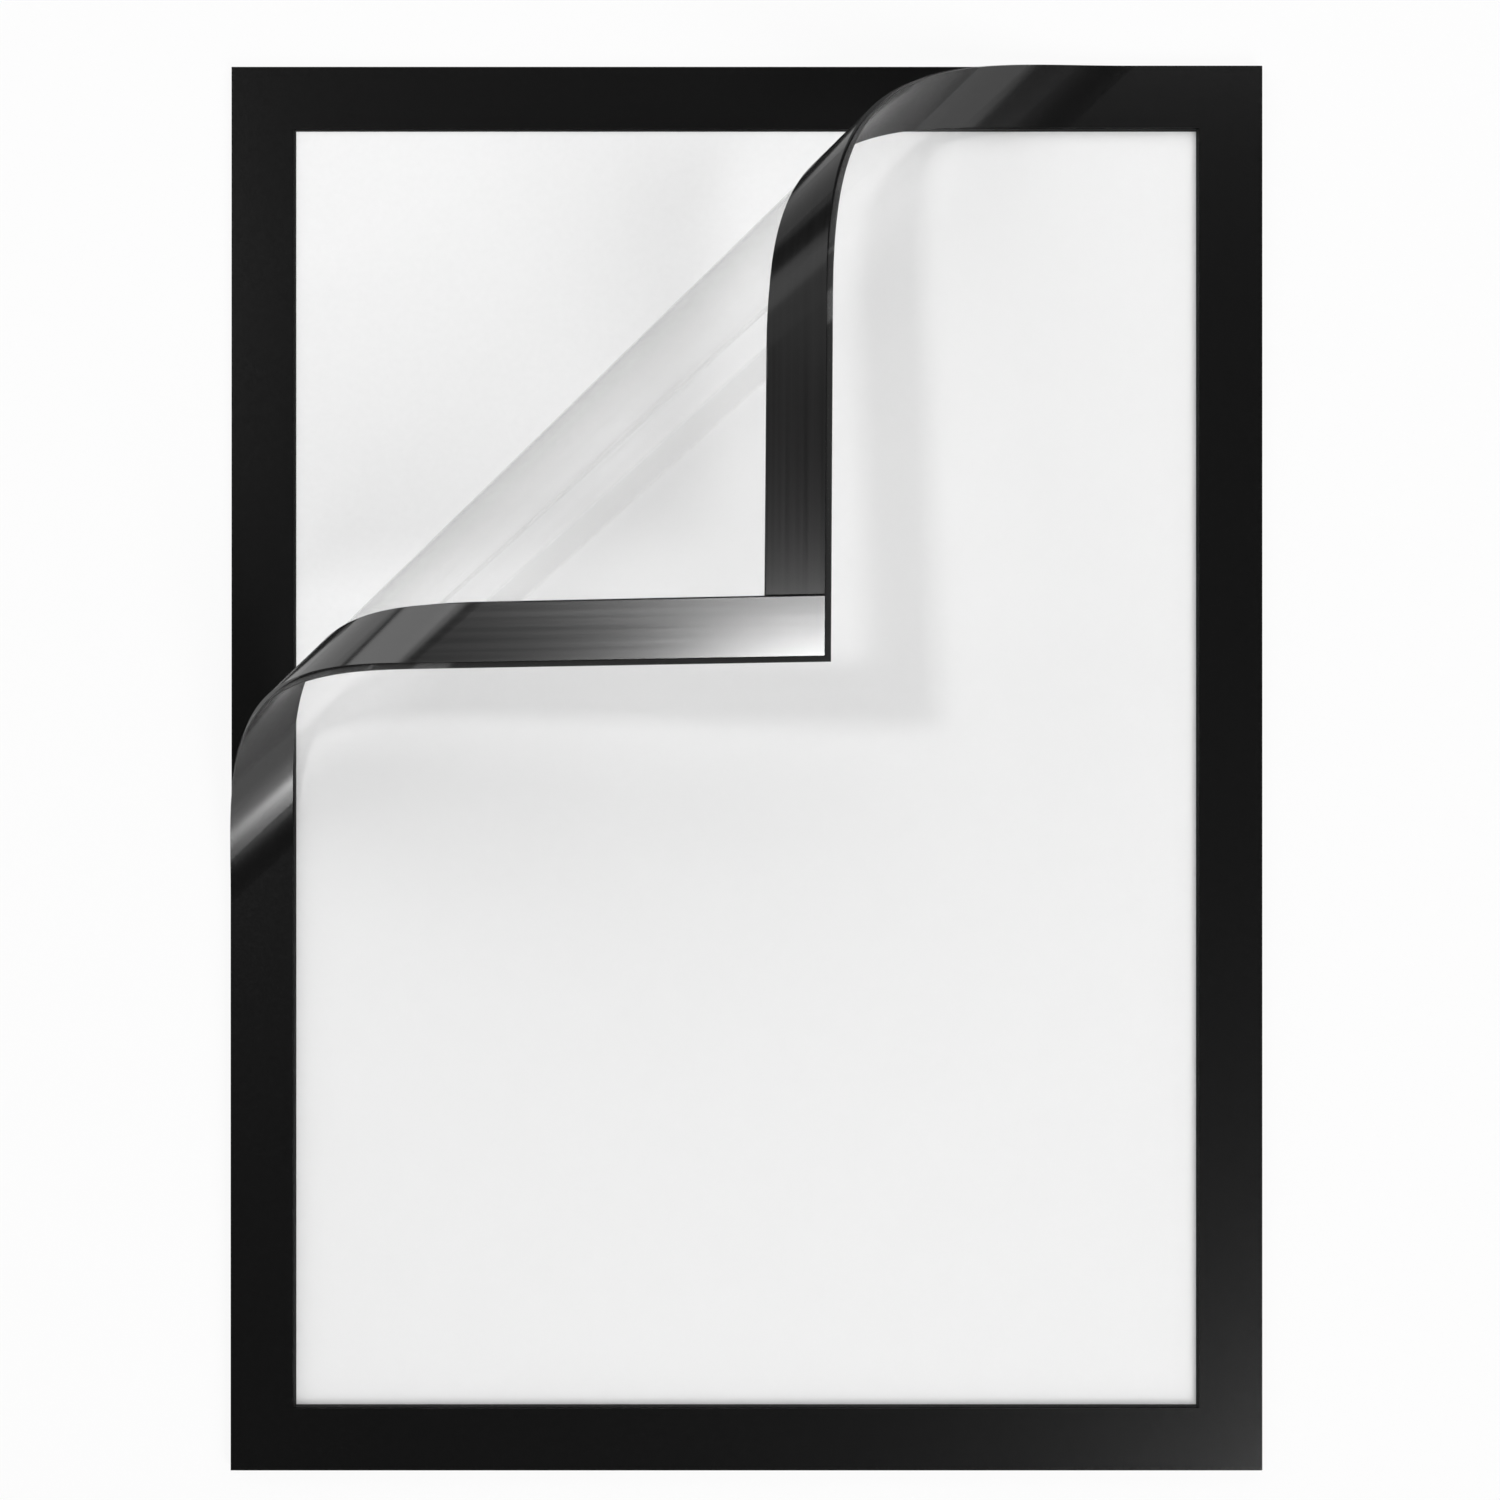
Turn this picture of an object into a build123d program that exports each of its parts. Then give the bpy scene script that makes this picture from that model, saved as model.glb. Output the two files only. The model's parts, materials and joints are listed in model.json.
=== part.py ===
from build123d import *
import os
from math import hypot

# Magnetic photo frame for one A4 sheet, stuck to a wall, with the top left corner of its
# cover peeled towards the viewer. Millimetres. X is across, Z is up, the wall is the plane
# Y = 0 and the front faces -Y.

# Sheet and border
SHEET_WIDTH = 210.0
SHEET_HEIGHT = 297.0
SHEET_THICK = 0.25
SHEET_CLEARANCE = 0.5
BORDER = 14.5

# Layers of the back, from the wall
ADHESIVE_THICK = 0.3
PANEL_THICK = 0.5
BACK_MAGNET_THICK = 0.8
BACK_BORDER_THICK = 0.2

# Layers of the cover, and the gap under it when it is shut
COVER_GAP = 0.1
COVER_MAGNET_THICK = 0.8
FILM_THICK = 0.25
COVER_BORDER_THICK = 0.25

# Cover magnets stop short of the border's edges, and butt with a small gap
MAGNET_OUTER_INSET = 1.2
MAGNET_INNER_INSET = 0.5
BUTT_GAP = 0.5

# Tape hinge along the right edge
TAPE_THICK = 0.2

# Peeled corner: the cover bends at LINKS straight lines. FLAT_LEFT and FLAT_TOP are what the
# first line leaves flat of the left and top edges, FLAP_DOWN and FLAP_ACROSS are what the
# last one leaves of them on the flap. CURL_ANGLE is the whole turn of the flap.
LINKS = 10
FLAT_LEFT = 137.0
FLAT_TOP = 36.0
FLAP_DOWN = 98.0
FLAP_ACROSS = 86.0
CURL_ANGLE = 168.0
LINK_GAP = 0.05

window_width = SHEET_WIDTH + 2 * SHEET_CLEARANCE
window_height = SHEET_HEIGHT + 2 * SHEET_CLEARANCE
outer_width = window_width + 2 * BORDER
outer_height = window_height + 2 * BORDER
panel_level = ADHESIVE_THICK
magnet_level = panel_level + PANEL_THICK
back_border_level = magnet_level + BACK_MAGNET_THICK
back_front = back_border_level + BACK_BORDER_THICK
film_depth = COVER_BORDER_THICK
magnet_depth = film_depth + FILM_THICK
cover_thick = magnet_depth + COVER_MAGNET_THICK
cover_front = back_front + COVER_GAP + cover_thick
peel_down = outer_height - FLAT_LEFT
peel_across = outer_width - FLAT_TOP
link_bend = CURL_ANGLE / LINKS

os.makedirs("parts", exist_ok=True)


def save(part, label):
    """Name a finished piece and write its file."""
    part.label = label
    export_step(part, f"parts/{label}.step")


def level(height):
    """Plane at a height above the wall, centred on the frame, facing the viewer."""
    return Plane(origin=(0, -height, 0), x_dir=(1, 0, 0), z_dir=(0, -1, 0))


def corner_level(height):
    """The same plane with its origin at the frame's top left corner."""
    corner = (-outer_width / 2, -height, outer_height / 2)
    return Plane(origin=corner, x_dir=(1, 0, 0), z_dir=(0, -1, 0))


def strips(outer_inset, inner_inset):
    """Centre and size of the four magnet strips, measured from the frame's top left corner.

    The left and right strips run the whole height, and the top and bottom ones butt
    between them.
    """
    strip = BORDER - outer_inset - inner_inset
    tall = outer_height - 2 * outer_inset
    wide = window_width + 2 * inner_inset - 2 * BUTT_GAP
    near = outer_inset + strip / 2
    return {
        "left": (near, -outer_height / 2, strip, tall),
        "right": (outer_width - near, -outer_height / 2, strip, tall),
        "top": (outer_width / 2, -near, wide, strip),
        "bottom": (outer_width / 2, near - outer_height, wide, strip),
    }


# Self-adhesive sheet that holds the back panel on the wall
with BuildPart() as adhesive_sheet:
    with BuildSketch(level(0)):
        Rectangle(outer_width, outer_height)
    extrude(amount=ADHESIVE_THICK)
save(adhesive_sheet.part, "adhesive_sheet")

# Stiff plastic panel behind the photograph
with BuildPart() as back_panel:
    with BuildSketch(level(panel_level)):
        Rectangle(outer_width, outer_height)
    extrude(amount=PANEL_THICK)
save(back_panel.part, "back_panel")

# Four magnet strips on the panel, which make the recess for the sheet
for side, (across, down, wide, tall) in strips(0, 0).items():
    with BuildPart() as back_magnet:
        with BuildSketch(corner_level(magnet_level)):
            with Locations((across, down)):
                Rectangle(wide, tall)
        extrude(amount=BACK_MAGNET_THICK)
    save(back_magnet.part, f"back_magnet_{side}")

# Black face film over the back magnets
with BuildPart() as back_border:
    with BuildSketch(level(back_border_level)):
        Rectangle(outer_width, outer_height)
        Rectangle(window_width, window_height, mode=Mode.SUBTRACT)
    extrude(amount=BACK_BORDER_THICK)
save(back_border.part, "back_border")

# Blank white sheet lying in the recess
with BuildPart() as insert_sheet:
    with BuildSketch(level(magnet_level)):
        Rectangle(SHEET_WIDTH, SHEET_HEIGHT)
    extrude(amount=SHEET_THICK)
save(insert_sheet.part, "insert_sheet")

# Tape that joins the right edges of the panel and the cover, and folds as the hinge
tape_depth = cover_front - film_depth - panel_level
with BuildPart() as hinge_tape:
    with BuildSketch(level(panel_level)):
        with Locations((outer_width / 2 + TAPE_THICK / 2, 0)):
            Rectangle(TAPE_THICK, outer_height)
    extrude(amount=tape_depth)
save(hinge_tape.part, "hinge_tape")


def bend_line(number):
    """How far down the left edge and across the top edge a bend line starts."""
    share = number / (LINKS - 1)
    down = peel_down + (FLAP_DOWN - peel_down) * share
    across = peel_across + (FLAP_ACROSS - peel_across) * share
    return down, across


def bend_ends(number, side):
    """Ends of a bend line on the flat cover, moved half a link gap away from it.

    side is 1 for the piece outside the line and -1 for the piece on the corner's side.
    """
    down, across = bend_line(number)
    reach = down * across / hypot(down, across)
    grow = 1 + side * LINK_GAP / 2 / reach
    return (0, -down * grow), (across * grow, 0)


def bend(number):
    """Turn about one bend line, on the cover's front face, that lifts the corner."""
    down, across = bend_line(number)
    hinge = Plane(origin=(0, -down, 0), x_dir=(across, down, 0), z_dir=(0, 0, 1)).location
    return hinge * Location((0, 0, 0), (link_bend, 0, 0)) * hinge.inverse()


def cover_piece(label, place, outline, depth, thick, window=False, strip=None):
    """One layer of a stretch of the cover, cut to the border or to one magnet strip.

    place lies on the cover's front face with its origin at the cover's top left corner, and
    depth is counted from that face towards the wall.
    """
    with BuildPart() as piece:
        with BuildSketch(place.offset(-depth)):
            Polygon(*outline, align=None)
            if window:
                with Locations((outer_width / 2, -outer_height / 2)):
                    Rectangle(window_width, window_height, mode=Mode.SUBTRACT)
            if strip:
                with Locations((strip[0], strip[1])):
                    Rectangle(strip[2], strip[3], mode=Mode.INTERSECT)
        extrude(amount=-thick)
    save(piece.part, label)


# Flat part of the cover: everything outside the first bend line
cover_magnets = strips(MAGNET_OUTER_INSET, MAGNET_INNER_INSET)
place = corner_level(cover_front)
left_end, top_end = bend_ends(0, 1)
outline = [(0, -outer_height), (outer_width, -outer_height), (outer_width, 0), top_end, left_end]
cover_piece("cover_border", place, outline, 0, COVER_BORDER_THICK, window=True)
cover_piece("cover_film", place, outline, film_depth, FILM_THICK)
for side, strip in cover_magnets.items():
    cover_piece(f"cover_magnet_{side}", place, outline, magnet_depth, COVER_MAGNET_THICK, strip=strip)

# Peeled corner: one link after each bend line, and the last link is the flap
for number in range(LINKS):
    place = Plane(place.location * bend(number))
    left_end, top_end = bend_ends(number, -1)
    outline = [left_end, top_end]
    if number < LINKS - 1:
        next_left, next_top = bend_ends(number + 1, 1)
        outline += [next_top, next_left]
    else:
        outline += [(0, 0)]
    link = f"corner_{number + 1}"
    cover_piece(f"{link}_border", place, outline, 0, COVER_BORDER_THICK, window=True)
    cover_piece(f"{link}_film", place, outline, film_depth, FILM_THICK)
    for side in ("left", "top"):
        strip = cover_magnets[side]
        cover_piece(f"{link}_magnet_{side}", place, outline, magnet_depth, COVER_MAGNET_THICK, strip=strip)
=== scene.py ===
import json
import math

import bpy
from mathutils import Euler, Matrix, Vector


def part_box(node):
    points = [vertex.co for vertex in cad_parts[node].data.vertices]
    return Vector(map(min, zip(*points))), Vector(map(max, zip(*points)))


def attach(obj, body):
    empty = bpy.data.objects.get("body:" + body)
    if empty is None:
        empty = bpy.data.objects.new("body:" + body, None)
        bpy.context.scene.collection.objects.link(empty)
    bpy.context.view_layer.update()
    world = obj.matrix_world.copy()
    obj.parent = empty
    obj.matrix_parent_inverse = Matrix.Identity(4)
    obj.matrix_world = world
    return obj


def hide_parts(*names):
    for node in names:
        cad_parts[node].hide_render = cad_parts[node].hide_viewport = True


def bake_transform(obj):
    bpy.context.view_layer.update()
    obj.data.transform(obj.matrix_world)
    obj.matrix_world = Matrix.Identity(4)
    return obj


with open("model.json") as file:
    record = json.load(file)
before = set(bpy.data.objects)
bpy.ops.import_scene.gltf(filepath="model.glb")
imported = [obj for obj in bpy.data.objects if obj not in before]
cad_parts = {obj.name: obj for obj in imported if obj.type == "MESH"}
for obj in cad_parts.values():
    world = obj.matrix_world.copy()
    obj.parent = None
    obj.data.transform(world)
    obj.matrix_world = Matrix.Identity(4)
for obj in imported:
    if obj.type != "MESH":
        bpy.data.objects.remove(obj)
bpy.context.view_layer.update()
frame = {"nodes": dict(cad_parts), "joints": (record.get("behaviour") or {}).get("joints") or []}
nodes = frame["nodes"]

# Self-adhesive sheet over the whole back, which sticks the frame to the wall. It is a pale
# double-sided tape web, with a slightly uneven, soft surface.


def fine_grain():
    """Node group: a fine mottle for plastic and paper, as a value around 0 and as a bump height."""
    group = bpy.data.node_groups.new("fine_grain", "ShaderNodeTree")
    group.interface.new_socket("Scale", in_out="INPUT", socket_type="NodeSocketFloat")
    group.interface.new_socket("Amount", in_out="INPUT", socket_type="NodeSocketFloat")
    group.interface.new_socket("Mottle", in_out="OUTPUT", socket_type="NodeSocketFloat")
    group.interface.new_socket("Height", in_out="OUTPUT", socket_type="NodeSocketFloat")
    node = group.nodes.new
    link = group.links.new
    given = node("NodeGroupInput")
    result = node("NodeGroupOutput")
    coords = node("ShaderNodeTexCoord")
    noise = node("ShaderNodeTexNoise")
    noise.inputs["Detail"].default_value = 5.0
    noise.inputs["Roughness"].default_value = 0.6
    link(coords.outputs["Object"], noise.inputs["Vector"])
    link(given.outputs["Scale"], noise.inputs["Scale"])
    centred = node("ShaderNodeMath")
    centred.operation = "SUBTRACT"
    centred.inputs[1].default_value = 0.5
    link(noise.outputs["Fac"], centred.inputs[0])
    scaled = node("ShaderNodeMath")
    scaled.operation = "MULTIPLY"
    link(centred.outputs[0], scaled.inputs[0])
    link(given.outputs["Amount"], scaled.inputs[1])
    link(scaled.outputs[0], result.inputs["Mottle"])
    link(noise.outputs["Fac"], result.inputs["Height"])
    return group


grain_group = fine_grain()
TINT_SPREAD = 0.2
ROUGHNESS_SPREAD = 0.3
RELIEF_DEPTH = 0.00002


def grained_material(name, colour, roughness, scale, amount, bump, specular=0.5):
    """Principled material whose colour, roughness and surface carry the fine grain."""
    material = bpy.data.materials.new(name)
    material.use_nodes = True
    node = material.node_tree.nodes.new
    link = material.node_tree.links.new
    shader = material.node_tree.nodes["Principled BSDF"]
    shader.inputs["Specular IOR Level"].default_value = specular
    grain = node("ShaderNodeGroup")
    grain.node_tree = grain_group
    grain.inputs["Scale"].default_value = scale
    grain.inputs["Amount"].default_value = amount
    tint = node("ShaderNodeMix")
    tint.data_type = "RGBA"
    tint.inputs["A"].default_value = (*[c * (1 - TINT_SPREAD) for c in colour], 1)
    tint.inputs["B"].default_value = (*[c * (1 + TINT_SPREAD) for c in colour], 1)
    level = node("ShaderNodeMath")
    level.operation = "ADD"
    level.inputs[1].default_value = 0.5
    link(grain.outputs["Mottle"], level.inputs[0])
    link(level.outputs[0], tint.inputs["Factor"])
    link(tint.outputs["Result"], shader.inputs["Base Color"])
    rough = node("ShaderNodeMath")
    rough.operation = "MULTIPLY_ADD"
    rough.inputs[1].default_value = ROUGHNESS_SPREAD
    rough.inputs[2].default_value = roughness
    link(grain.outputs["Mottle"], rough.inputs[0])
    link(rough.outputs[0], shader.inputs["Roughness"])
    relief = node("ShaderNodeBump")
    relief.inputs["Strength"].default_value = bump
    relief.inputs["Distance"].default_value = RELIEF_DEPTH
    link(grain.outputs["Height"], relief.inputs["Height"])
    link(relief.outputs["Normal"], shader.inputs["Normal"])
    return material


def dress(node_name, material):
    """Give a CAD node that stays in view its material."""
    mesh = nodes[node_name].data
    mesh.materials.clear()
    mesh.materials.append(material)


adhesive_web = grained_material(
    "adhesive_web", (0.66, 0.66, 0.62), roughness=0.6, scale=260.0, amount=2.0, bump=0.6
)
dress("adhesive_sheet", adhesive_web)

# Stiff plastic panel that carries the sheet. It is cut from black polypropylene and shows
# only at its edges and in the narrow gap round the paper.
black_panel = grained_material(
    "black_panel", (0.012, 0.012, 0.012), roughness=0.5, scale=1500.0, amount=0.6, bump=0.3
)
dress("back_panel", black_panel)

# Flexible magnet strips glued on the panel. They are calendered rubber, dull and almost
# black, butted at the corners and hidden under the face film.
magnet_rubber = grained_material(
    "magnet_rubber", (0.016, 0.016, 0.016), roughness=0.42, scale=1800.0, amount=0.7, bump=0.35
)
for side in ("left", "right", "top", "bottom"):
    dress(f"back_magnet_{side}", magnet_rubber)

# Black face film laminated over the back magnets. It is the border that shows at the top
# left, where the cover is peeled away.
back_film_black = grained_material(
    "back_film_black", (0.0075, 0.0075, 0.0075), roughness=0.15, scale=2600.0, amount=0.5, bump=0.06,
    specular=0.15
)
dress("back_border", back_film_black)

# Blank white sheet of smooth A4 paper. It is laid loose in the recess between the back
# magnets, and the shut cover holds it there.
white_paper = grained_material(
    "white_paper", (0.90, 0.90, 0.90), roughness=0.75, scale=700.0, amount=0.12, bump=0.25, specular=0.2
)
dress("insert_sheet", white_paper)

# Cover border: black satin film, cut in one piece as a frame and laminated on the clear
# film. Like all the cover's layers it lies flat below the peel line and curls above it, so
# the flat layer is cut along the bend lines, curled, and parted at the middle of each link.
border_low, border_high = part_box("back_border")
film_low, film_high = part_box("cover_film")
cover_low, cover_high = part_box("cover_border")
LEFT, RIGHT = border_low.x, border_high.x
BOTTOM, TOP = border_low.z, border_high.z
FRONT = cover_low.y
WINDOW_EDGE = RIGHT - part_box("back_magnet_right")[0].x
ARC_STEPS = 6
SMOOTH_ANGLE = math.radians(30)

bends = [j for j in frame["joints"] if j["name"].startswith("corner_bend_")]
links = len(bends)
bend_angle = -math.radians(bends[0]["range_deg"][0])


def turn(point, axis, angle):
    """Matrix that turns by an angle about an axis through a point."""
    return Matrix.Translation(point) @ Matrix.Rotation(angle, 4, axis) @ Matrix.Translation(-point)


# Each link's place as a move of the flat cover, and its bend line on the flat cover as the
# distances down the left edge and along the top edge
places = [Matrix.Identity(4)]
lines = []
for joint in bends:
    pivot = Vector(joint["pos_m"])
    axis = Vector(joint["axis"])
    flat_pivot = places[-1].inverted() @ pivot
    flat_axis = places[-1].to_3x3().inverted() @ axis
    slope = flat_axis.z / flat_axis.x
    across = flat_pivot.x - LEFT
    down = TOP - flat_pivot.z
    lines.append((down + slope * across, across + down / slope))
    places.append(turn(pivot, axis, bend_angle) @ places[-1])
down_first, across_first = lines[0]
down_step = (lines[-1][0] - down_first) / (links - 1)
across_step = (lines[-1][1] - across_first) / (links - 1)


def line_ends(number):
    """Where a bend line, or one between two of them, meets the flat cover's left and top edges."""
    left_end = Vector((LEFT, FRONT, TOP - down_first - down_step * number))
    top_end = Vector((LEFT + across_first + across_step * number, FRONT, TOP))
    return left_end, top_end


def line_number(point):
    """Number of the bend line through a point of the flat cover, with a fraction between lines."""
    across = point.x - LEFT
    down = TOP - point.z
    a = across_step * down_step
    b = across_first * down_step + across_step * down_first - across * down_step - down * across_step
    c = across_first * down_first - across * down_first - down * across_first
    return (-b - math.sqrt(max(b * b - 4 * a * c, 0.0))) / (2 * a)


def link_of(number):
    """Link that a line number lies on: 0 is the flat cover, and each bend has its own stretch."""
    return min(max(math.floor(number + 1.5), 0), links)


def curled(point):
    """Where a point of the flat cover goes: each bend is an arc between the middles of two links."""
    number = line_number(point)
    if number <= -0.5:
        return point.copy()
    if number >= links - 0.5:
        return places[links] @ point
    bend = link_of(number) - 1
    share = number - bend + 0.5
    left_end, top_end = line_ends(bend)
    along = (top_end - left_end).normalized()
    front = Vector((0, -1, 0))
    inward = front.cross(along)
    run = (point - left_end).dot(along) / (top_end - left_end).length
    half_left = abs(down_step) * abs(along.x) / 2
    half_top = abs(across_step) * abs(along.z) / 2
    half = half_left + (half_top - half_left) * run
    radius = half / math.tan(bend_angle / 2)
    angle = bend_angle * share
    depth = point.y - FRONT
    slide = radius * math.sin(angle) - 2 * half * share + depth * math.sin(angle)
    lift = radius * (1 - math.cos(angle)) + depth * (1 - math.cos(angle))
    return places[bend] @ (point + inward * slide + front * lift)


def start_piece(name):
    """Name the primitive that was just added."""
    piece = bpy.context.object
    piece.name = name
    piece.data.name = name
    return piece


def flat_sheet(name, left, right, bottom, top, front, back, rim=0.0):
    """Flat layer of the cover, as a solid with its window cut out if it has a rim."""
    bpy.ops.object.select_all(action="DESELECT")
    middle = ((left + right) / 2, front, (bottom + top) / 2)
    bpy.ops.mesh.primitive_plane_add(size=1, location=middle, rotation=(math.pi / 2, 0, 0))
    piece = start_piece(name)
    piece.scale = (right - left, top - bottom, 1)
    bpy.ops.object.transform_apply(location=True, rotation=True, scale=True)
    bpy.ops.object.mode_set(mode="EDIT")
    bpy.ops.mesh.select_all(action="SELECT")
    if rim:
        bpy.ops.mesh.inset(thickness=rim, use_boundary=True)
        bpy.ops.mesh.delete(type="FACE")
    bpy.ops.mesh.select_all(action="SELECT")
    bpy.ops.mesh.extrude_region_move(TRANSFORM_OT_translate={"value": (0, back - front, 0)})
    bpy.ops.mesh.select_all(action="SELECT")
    bpy.ops.mesh.normals_make_consistent(inside=False)
    bpy.ops.object.mode_set(mode="OBJECT")
    return piece


def note_flat_place(piece):
    """Keep each point's place on the flat layer, along its longer side first, for its material."""
    place = piece.data.attributes.new("flat_place", "FLOAT_VECTOR", "POINT")
    upright = piece.dimensions.z > piece.dimensions.x
    for vertex, kept in zip(piece.data.vertices, place.data):
        kept.vector = vertex.co.zxy if upright else vertex.co.xzy


def pick(piece):
    """Select one piece alone and make it the active one."""
    bpy.ops.object.select_all(action="DESELECT")
    piece.select_set(True)
    bpy.context.view_layer.objects.active = piece


def cut_along_bends(piece):
    """Cut a flat layer from the middle of one link to the next, in even steps over each bend."""
    pick(piece)
    bpy.ops.object.mode_set(mode="EDIT")
    for step in range(links * ARC_STEPS + 1):
        left_end, top_end = line_ends(step / ARC_STEPS - 0.5)
        across = (top_end - left_end).cross(Vector((0, 1, 0))).normalized()
        bpy.ops.mesh.select_all(action="SELECT")
        bpy.ops.mesh.bisect(plane_co=left_end, plane_no=across)
    bpy.ops.mesh.select_all(action="DESELECT")
    bpy.ops.object.mode_set(mode="OBJECT")


def part_at_links(piece):
    """Part a cut layer at the middle of each link, and return all its parts."""
    for link in range(1, links + 1):
        found = False
        for face in piece.data.polygons:
            face.select = link_of(line_number(face.center)) == link
            found = found or face.select
        bpy.ops.object.mode_set(mode="EDIT")
        if found:
            bpy.ops.mesh.separate(type="SELECTED")
        bpy.ops.object.mode_set(mode="OBJECT")
    return list(bpy.context.selected_objects)


def close_ends(part):
    """Close the ends where a part was cut off, and mark the faces that close them."""
    pick(part)
    skin_faces = len(part.data.polygons)
    bpy.ops.object.mode_set(mode="EDIT")
    bpy.ops.mesh.select_all(action="SELECT")
    bpy.ops.mesh.fill_holes(sides=0)
    bpy.ops.mesh.select_all(action="SELECT")
    bpy.ops.mesh.normals_make_consistent(inside=False)
    bpy.ops.object.mode_set(mode="OBJECT")
    cut_end = part.data.attributes.new("cut_end", "FLOAT", "FACE")
    for number, face in enumerate(cut_end.data):
        face.value = float(number >= skin_faces)


def curl_and_part(piece, material, flat_node, link_nodes):
    """Cut and part a flat layer and curl its parts; the flat part rides on the cover."""
    piece.data.materials.append(material)
    cut_along_bends(piece)
    note_flat_place(piece)
    for part in part_at_links(piece):
        link = link_of(line_number(part.data.polygons[0].center))
        close_ends(part)
        for vertex in part.data.vertices:
            vertex.co = curled(vertex.co)
        bpy.ops.object.shade_smooth_by_angle(angle=SMOOTH_ANGLE)
        if link == 0:
            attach(part, "cover")
            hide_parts(flat_node)
            continue
        part.name = f"{piece.name}_bend_{link}"
        start = sum(line_ends(link - 1.5), Vector()) / 2
        end = sum(line_ends(link - 0.5), Vector()) / 2
        curled(start)
        curled(end)
        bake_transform(part)
        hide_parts(link_nodes.format(link))


def bonded_back(material, front, back, added_roughness):
    """Take the gloss off a layer's back, where it is bonded to the next one."""
    node = material.node_tree.nodes.new
    link = material.node_tree.links.new
    shader = material.node_tree.nodes["Principled BSDF"]
    place = node("ShaderNodeAttribute")
    place.attribute_name = "flat_place"
    parts = node("ShaderNodeSeparateXYZ")
    link(place.outputs["Vector"], parts.inputs[0])
    depth = node("ShaderNodeMapRange")
    depth.inputs["From Min"].default_value = front
    depth.inputs["From Max"].default_value = back
    depth.inputs["To Max"].default_value = added_roughness
    link(parts.outputs["Z"], depth.inputs["Value"])
    rough = node("ShaderNodeMath")
    rough.operation = "ADD"
    link(shader.inputs["Roughness"].links[0].from_socket, rough.inputs[0])
    link(depth.outputs["Result"], rough.inputs[1])
    link(rough.outputs[0], shader.inputs["Roughness"])


border_black = grained_material(
    "border_black", (0.0038, 0.0038, 0.0038), roughness=0.18, scale=3000.0, amount=0.5, bump=0.05,
    specular=0.8
)
bonded_back(border_black, cover_low.y, cover_high.y, added_roughness=0.7)
border = flat_sheet("border", LEFT, RIGHT, BOTTOM, TOP, cover_low.y, cover_high.y, rim=WINDOW_EDGE)
curl_and_part(border, border_black, "cover_border", "corner_{}_border")

# Clear cover film: one sheet of soft plastic film over the whole cover, very slightly grey,
# and greyer where it is seen edge on. Painted shade: a faint grey band and a fine grey line
# are painted into its veil, side by side along the flap's bend.
FILM_GREY = (0.52, 0.52, 0.52, 1)
FILM_ROUGHNESS = 0.3
VEIL_FACING = 0.004
VEIL_EDGE_ON = 0.22
VEIL_OF_SHADE = 0.12
SHADOW_EASED = 0.8
# Start, end, soft edge and strength of the painted shade band and line, by distance from the
# corner, and the distance that the ramp reaches: the last bend line is at 1
SHADE_BAND = (0.87, 0.94, 0.012, 1.0)
SHADE_LINE = (1.045, 1.055, 0.003, 0.7)
SHADE_REACH = 1.25


def bend_marks(material):
    """Mask of the painted shade band and line along the last bend, by how far the flat film is from its
    corner.
    """
    node = material.node_tree.nodes.new
    link = material.node_tree.links.new
    down = TOP - line_ends(links - 1)[0].z
    across = line_ends(links - 1)[1].x - LEFT
    full = down * across * SHADE_REACH
    place = node("ShaderNodeAttribute")
    place.attribute_name = "flat_place"
    along = node("ShaderNodeVectorMath")
    along.operation = "DOT_PRODUCT"
    along.inputs[1].default_value = (-across / full, down / full, 0)
    link(place.outputs["Vector"], along.inputs[0])
    distance = node("ShaderNodeMath")
    distance.operation = "ADD"
    distance.inputs[1].default_value = (TOP * across - LEFT * down) / full
    link(along.outputs["Value"], distance.inputs[0])
    shade_ramp = node("ShaderNodeValToRGB")
    stops = shade_ramp.color_ramp.elements
    stops[1].color = (0, 0, 0, 1)
    for start, end, soft, strength in (SHADE_BAND, SHADE_LINE):
        for place_on, level in ((start - soft, 0), (start, strength), (end, strength), (end + soft, 0)):
            stops.new(place_on / SHADE_REACH).color = (level, level, level, 1)
    link(distance.outputs[0], shade_ramp.inputs["Fac"])
    return shade_ramp.outputs["Color"]


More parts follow.
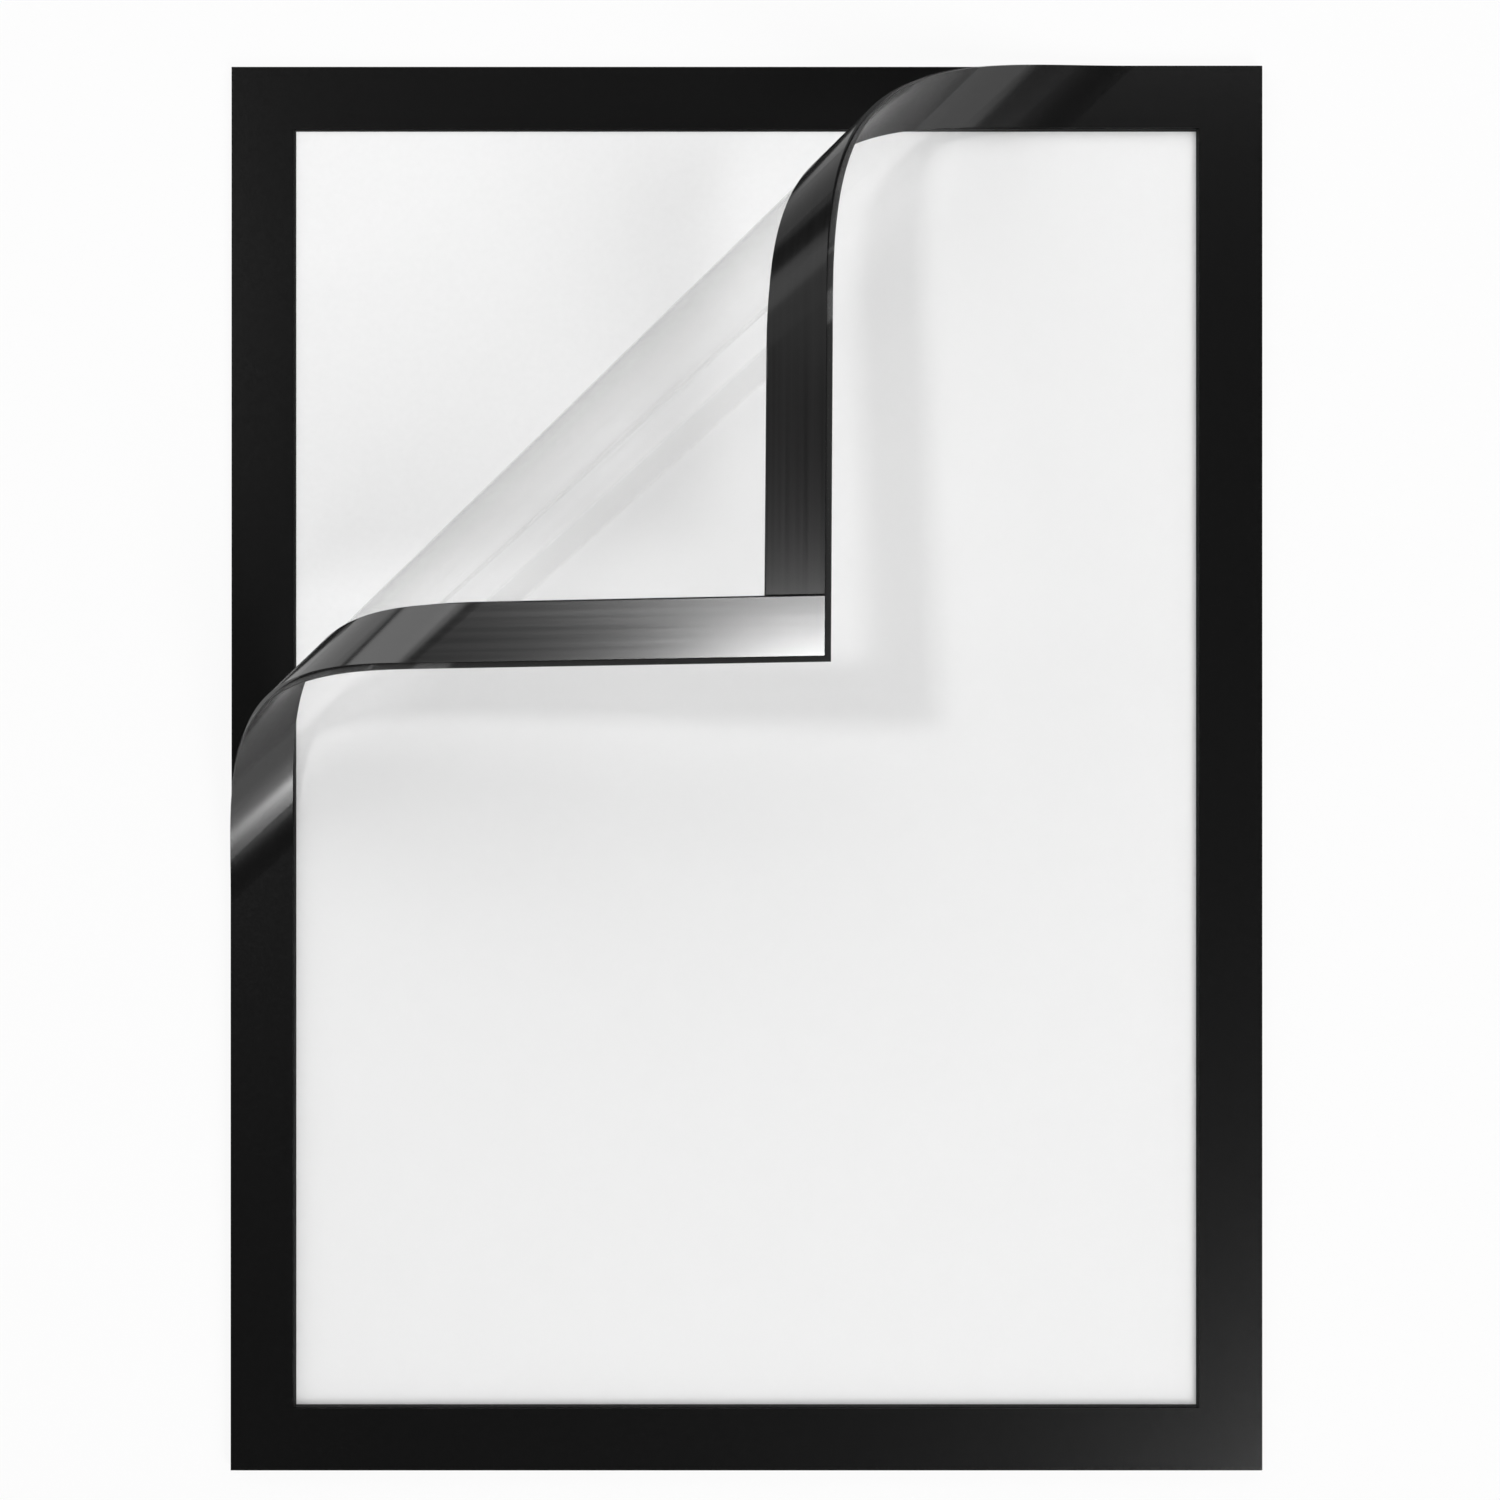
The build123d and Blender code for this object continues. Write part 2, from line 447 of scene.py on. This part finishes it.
def clear_film():
    """Thin clear plastic: mostly transparent, with a grey veil that grows at a glancing angle.

    The ends where the film is parted for its bends don't show, as the real film is whole there.
    """
    material = bpy.data.materials.new("clear_film")
    material.use_nodes = True
    node = material.node_tree.nodes.new
    link = material.node_tree.links.new
    shader = material.node_tree.nodes["Principled BSDF"]
    shader.inputs["Base Color"].default_value = FILM_GREY
    shader.inputs["Specular IOR Level"].default_value = 0.06
    grain = node("ShaderNodeGroup")
    grain.node_tree = grain_group
    grain.inputs["Scale"].default_value = 60.0
    grain.inputs["Amount"].default_value = 0.12
    rough = node("ShaderNodeMath")
    rough.operation = "ADD"
    rough.inputs[1].default_value = FILM_ROUGHNESS
    link(grain.outputs["Mottle"], rough.inputs[0])
    link(rough.outputs[0], shader.inputs["Roughness"])
    edge = node("ShaderNodeLayerWeight")
    edge.inputs["Blend"].default_value = 0.5
    veil = node("ShaderNodeMapRange")
    veil.inputs["To Min"].default_value = VEIL_FACING
    veil.inputs["To Max"].default_value = VEIL_EDGE_ON
    link(edge.outputs["Facing"], veil.inputs["Value"])
    ray = node("ShaderNodeLightPath")
    passing = node("ShaderNodeMath")
    passing.operation = "MULTIPLY_ADD"
    passing.inputs[1].default_value = -SHADOW_EASED
    passing.inputs[2].default_value = 1.0
    link(ray.outputs["Is Shadow Ray"], passing.inputs[0])
    # Painted shade: the grey band and line along the last bend thicken the veil
    veil_and_shade = node("ShaderNodeMath")
    veil_and_shade.operation = "MULTIPLY_ADD"
    veil_and_shade.inputs[1].default_value = VEIL_OF_SHADE
    link(bend_marks(material), veil_and_shade.inputs[0])
    link(veil.outputs["Result"], veil_and_shade.inputs[2])
    haze = node("ShaderNodeMath")
    haze.operation = "MULTIPLY"
    link(veil_and_shade.outputs[0], haze.inputs[0])
    link(passing.outputs[0], haze.inputs[1])
    cut_end = node("ShaderNodeAttribute")
    cut_end.attribute_name = "cut_end"
    skin = node("ShaderNodeMath")
    skin.operation = "SUBTRACT"
    skin.inputs[0].default_value = 1.0
    link(cut_end.outputs["Fac"], skin.inputs[1])
    shown = node("ShaderNodeMath")
    shown.operation = "MULTIPLY"
    link(haze.outputs[0], shown.inputs[0])
    link(skin.outputs[0], shown.inputs[1])
    link(shown.outputs[0], shader.inputs["Alpha"])
    return material


film_clear = clear_film()
film = flat_sheet("film", LEFT, RIGHT, BOTTOM, TOP, film_low.y, film_high.y)
curl_and_part(film, film_clear, "cover_film", "corner_{}_film")

# Cover magnets: flexible magnet strips glued on the film's back, a little inside the black
# border. They are rolled rubber with fine lengthwise streaks. The glossy side strips run the
# whole height, and the duller top and bottom strips butt between them.
STREAKS_PER_METRE = (8.0, 900.0, 900.0)
RUBBER_DARK = (0.006, 0.006, 0.006, 1)
RUBBER_LIGHT = (0.014, 0.014, 0.014, 1)
RUBBER_ROUGHNESS = (0.12, 0.17)
STREAK_BUMP = 0.03


def rolled_streaks():
    """Node group: long fine streaks along a strip, as its rollers leave them."""
    group = bpy.data.node_groups.new("rolled_streaks", "ShaderNodeTree")
    group.interface.new_socket("Place", in_out="INPUT", socket_type="NodeSocketVector")
    group.interface.new_socket("Streak", in_out="OUTPUT", socket_type="NodeSocketFloat")
    node = group.nodes.new
    link = group.links.new
    given = node("NodeGroupInput")
    result = node("NodeGroupOutput")
    stretch = node("ShaderNodeMapping")
    stretch.inputs["Scale"].default_value = STREAKS_PER_METRE
    link(given.outputs["Place"], stretch.inputs["Vector"])
    noise = node("ShaderNodeTexNoise")
    noise.inputs["Scale"].default_value = 1.0
    noise.inputs["Detail"].default_value = 4.0
    link(stretch.outputs["Vector"], noise.inputs["Vector"])
    link(noise.outputs["Fac"], result.inputs["Streak"])
    return group


streak_group = rolled_streaks()


def rolled_rubber(name, specular):
    """Black magnet rubber with streaks in its colour, gloss and surface."""
    material = bpy.data.materials.new(name)
    material.use_nodes = True
    node = material.node_tree.nodes.new
    link = material.node_tree.links.new
    shader = material.node_tree.nodes["Principled BSDF"]
    shader.inputs["Specular IOR Level"].default_value = specular
    place = node("ShaderNodeAttribute")
    place.attribute_name = "flat_place"
    streaks = node("ShaderNodeGroup")
    streaks.node_tree = streak_group
    link(place.outputs["Vector"], streaks.inputs["Place"])
    tint = node("ShaderNodeMix")
    tint.data_type = "RGBA"
    tint.inputs["A"].default_value = RUBBER_DARK
    tint.inputs["B"].default_value = RUBBER_LIGHT
    link(streaks.outputs["Streak"], tint.inputs["Factor"])
    link(tint.outputs["Result"], shader.inputs["Base Color"])
    gloss = node("ShaderNodeMapRange")
    gloss.inputs["To Min"].default_value = RUBBER_ROUGHNESS[0]
    gloss.inputs["To Max"].default_value = RUBBER_ROUGHNESS[1]
    link(streaks.outputs["Streak"], gloss.inputs["Value"])
    link(gloss.outputs["Result"], shader.inputs["Roughness"])
    relief = node("ShaderNodeBump")
    relief.inputs["Strength"].default_value = STREAK_BUMP
    relief.inputs["Distance"].default_value = RELIEF_DEPTH
    link(streaks.outputs["Streak"], relief.inputs["Height"])
    link(relief.outputs["Normal"], shader.inputs["Normal"])
    return material


side_rubber = rolled_rubber("side_rubber", specular=1.0)
cross_rubber = rolled_rubber("cross_rubber", specular=0.2)
left_low, left_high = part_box("cover_magnet_left")
right_low, right_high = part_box("cover_magnet_right")
low_low, low_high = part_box("cover_magnet_bottom")
depths = (left_low.y, left_high.y)
magnet_left = flat_sheet("magnet_left", left_low.x, left_high.x, right_low.z, right_high.z, *depths)
curl_and_part(magnet_left, side_rubber, "cover_magnet_left", "corner_{}_magnet_left")
magnet_top = flat_sheet("magnet_top", low_low.x, low_high.x, -low_high.z, -low_low.z, *depths)
curl_and_part(magnet_top, cross_rubber, "cover_magnet_top", "corner_{}_magnet_top")
flat_strips = (("right", right_low, right_high, side_rubber), ("bottom", low_low, low_high, cross_rubber))
for side, low, high, rubber in flat_strips:
    magnet = flat_sheet(f"magnet_{side}", low.x, high.x, low.z, high.z, *depths)
    note_flat_place(magnet)
    magnet.data.materials.append(rubber)
    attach(magnet, "cover")
    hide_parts(f"cover_magnet_{side}")

# Hinge tape along the right edge, built flat and cut in even steps through its depth. The real tape
# is thin black tape, folded round the edges of the panel and the cover, and it opens like the spine of a
# book.
TAPE_STEPS = 12
tape_low, tape_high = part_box("hinge_tape")
tape = flat_sheet("tape", tape_low.x, tape_high.x, tape_low.z, tape_high.z, tape_low.y, tape_high.y)
bpy.ops.object.mode_set(mode="EDIT")
for step in range(1, TAPE_STEPS):
    height = tape_low.y + (tape_high.y - tape_low.y) * step / TAPE_STEPS
    bpy.ops.mesh.select_all(action="SELECT")
    bpy.ops.mesh.bisect(plane_co=(0, height, 0), plane_no=(0, 1, 0))
bpy.ops.object.mode_set(mode="OBJECT")
tape_black = grained_material(
    "tape_black", (0.01, 0.01, 0.01), roughness=0.35, scale=2000.0, amount=0.5, bump=0.2
)
tape.data.materials.append(tape_black)
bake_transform(tape)
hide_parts("hinge_tape")

# Wall and floor of the studio: a white backdrop close behind the frame, which curves into a
# floor below it. It is clear from behind, so that the frame's back can be looked at.
WALL_GAP = 0.0004
WALL_WIDTH = 6.0
WALL_TOP = 3.0
FLOOR_DROP = 1.2
FLOOR_DEPTH = 1.6
FLOOR_CURVE = 0.5
FLOOR_CURVE_STEPS = 16
PLAIN_WHITE_SHARE = 0.9
bpy.ops.object.select_all(action="DESELECT")
middle = (0, WALL_GAP, (WALL_TOP - FLOOR_DROP) / 2)
bpy.ops.mesh.primitive_plane_add(size=1, location=middle, rotation=(math.pi / 2, 0, 0))
wall = start_piece("wall")
wall.scale = (WALL_WIDTH, WALL_TOP + FLOOR_DROP, 1)
bpy.ops.object.transform_apply(location=True, rotation=True, scale=True)
for edge in wall.data.edges:
    edge.select = all(wall.data.vertices[v].co.z < 0 for v in edge.vertices)
for vertex in wall.data.vertices:
    vertex.select = vertex.co.z < 0
wall.data.polygons[0].select = False
bpy.ops.object.mode_set(mode="EDIT")
bpy.context.tool_settings.mesh_select_mode = (False, True, False)
bpy.ops.mesh.extrude_region_move(TRANSFORM_OT_translate={"value": (0, -FLOOR_DEPTH, 0)})
bpy.ops.object.mode_set(mode="OBJECT")
for vertex in wall.data.vertices:
    vertex.select = vertex.co.z < 0 and vertex.co.y > -FLOOR_DEPTH / 2
for edge in wall.data.edges:
    edge.select = all(wall.data.vertices[v].select for v in edge.vertices)
bpy.ops.object.mode_set(mode="EDIT")
bpy.ops.mesh.bevel(offset=FLOOR_CURVE, segments=FLOOR_CURVE_STEPS)
bpy.ops.object.mode_set(mode="OBJECT")
bpy.ops.object.shade_smooth_by_angle(angle=SMOOTH_ANGLE)


def backdrop_white():
    """Matt white that the camera sees as plain white with a faint shadow, clear from behind."""
    material = bpy.data.materials.new("backdrop_white")
    material.use_nodes = True
    node = material.node_tree.nodes.new
    link = material.node_tree.links.new
    paint = material.node_tree.nodes["Principled BSDF"]
    paint.inputs["Base Color"].default_value = (0.8, 0.8, 0.8, 1)
    paint.inputs["Roughness"].default_value = 0.9
    ray = node("ShaderNodeLightPath")
    seen = node("ShaderNodeMath")
    seen.operation = "MAXIMUM"
    link(ray.outputs["Is Camera Ray"], seen.inputs[0])
    link(ray.outputs["Is Glossy Ray"], seen.inputs[1])
    share = node("ShaderNodeMath")
    share.operation = "MULTIPLY"
    share.inputs[1].default_value = PLAIN_WHITE_SHARE
    link(seen.outputs[0], share.inputs[0])
    glow = node("ShaderNodeEmission")
    glow.inputs["Strength"].default_value = 1.0
    front = node("ShaderNodeMixShader")
    link(share.outputs[0], front.inputs["Fac"])
    link(paint.outputs[0], front.inputs[1])
    link(glow.outputs[0], front.inputs[2])
    side = node("ShaderNodeNewGeometry")
    open_way = node("ShaderNodeMath")
    open_way.operation = "MAXIMUM"
    link(side.outputs["Backfacing"], open_way.inputs[0])
    link(ray.outputs["Is Shadow Ray"], open_way.inputs[1])
    clear = node("ShaderNodeBsdfTransparent")
    both = node("ShaderNodeMixShader")
    link(open_way.outputs[0], both.inputs["Fac"])
    link(front.outputs[0], both.inputs[1])
    link(clear.outputs[0], both.inputs[2])
    link(both.outputs[0], material.node_tree.nodes["Material Output"].inputs["Surface"])
    return material


wall.data.materials.append(backdrop_white())

# Studio light: soft boxes round the camera, outside what the flat black border mirrors. Those
# above and at the sides light the sheet, a low one shows in the curl, a small one on the flap's
# corner, and one behind lights the back.
ROOM_LEVEL = 0.03
scene = bpy.context.scene
scene.view_settings.view_transform = "Standard"
world = bpy.data.worlds.new("studio")
scene.world = world
world.use_nodes = True
room = world.node_tree.nodes["Background"]
room.inputs["Color"].default_value = (1, 1, 1, 1)
sight = world.node_tree.nodes.new("ShaderNodeLightPath")
room_level = world.node_tree.nodes.new("ShaderNodeMath")
room_level.operation = "MAXIMUM"
room_level.inputs[1].default_value = ROOM_LEVEL
world.node_tree.links.new(sight.outputs["Is Camera Ray"], room_level.inputs[0])
world.node_tree.links.new(room_level.outputs[0], room.inputs["Strength"])


def soft_box(name, azimuth, elevation, distance, width, height, power, roll=0):
    """Rectangular area light in a direction from the frame's middle, in degrees, that faces it."""
    data = bpy.data.lights.new(name, "AREA")
    data.shape = "RECTANGLE"
    data.size = width
    data.size_y = height
    data.energy = power
    lamp = bpy.data.objects.new(name, data)
    scene.collection.objects.link(lamp)
    facing = Euler((math.radians(90 - elevation), 0, math.radians(azimuth))).to_matrix()
    lamp.rotation_euler = (facing @ Matrix.Rotation(math.radians(roll), 3, "Z")).to_euler()
    lamp.location = facing @ Vector((0, 0, distance))


soft_box("box_top", azimuth=0, elevation=46, distance=0.9, width=1.4, height=0.7, power=3.7)
soft_box("box_left", azimuth=-60, elevation=24, distance=1.4, width=0.9, height=1.2, power=5.0)
soft_box("box_right", azimuth=46, elevation=16, distance=1.4, width=0.6, height=1.0, power=2.4)
soft_box("box_low", azimuth=30, elevation=-31, distance=1.9, width=1.15, height=0.4, power=18.5, roll=-47)
soft_box("box_flap", azimuth=-20, elevation=10.5, distance=2.5, width=0.24, height=0.2, power=9.0)
soft_box("box_back", azimuth=155, elevation=30, distance=1.5, width=1.0, height=1.0, power=12.0)

# Camera square on to the frame, a hair above and to the right of its middle. Its lens goes
# with its distance, so that the frame fills the picture as in the photograph.
DISTANCE = 0.8
ASIDE = 0.0009
ABOVE = 0.0042
LENS_PER_METRE = 103.1
camera_data = bpy.data.cameras.new("camera")
camera_data.lens = LENS_PER_METRE * DISTANCE
camera = bpy.data.objects.new("camera", camera_data)
scene.collection.objects.link(camera)
camera.location = (ASIDE, FRONT - DISTANCE, ABOVE)
camera.rotation_euler = (math.pi / 2, 0, 0)
scene.camera = camera
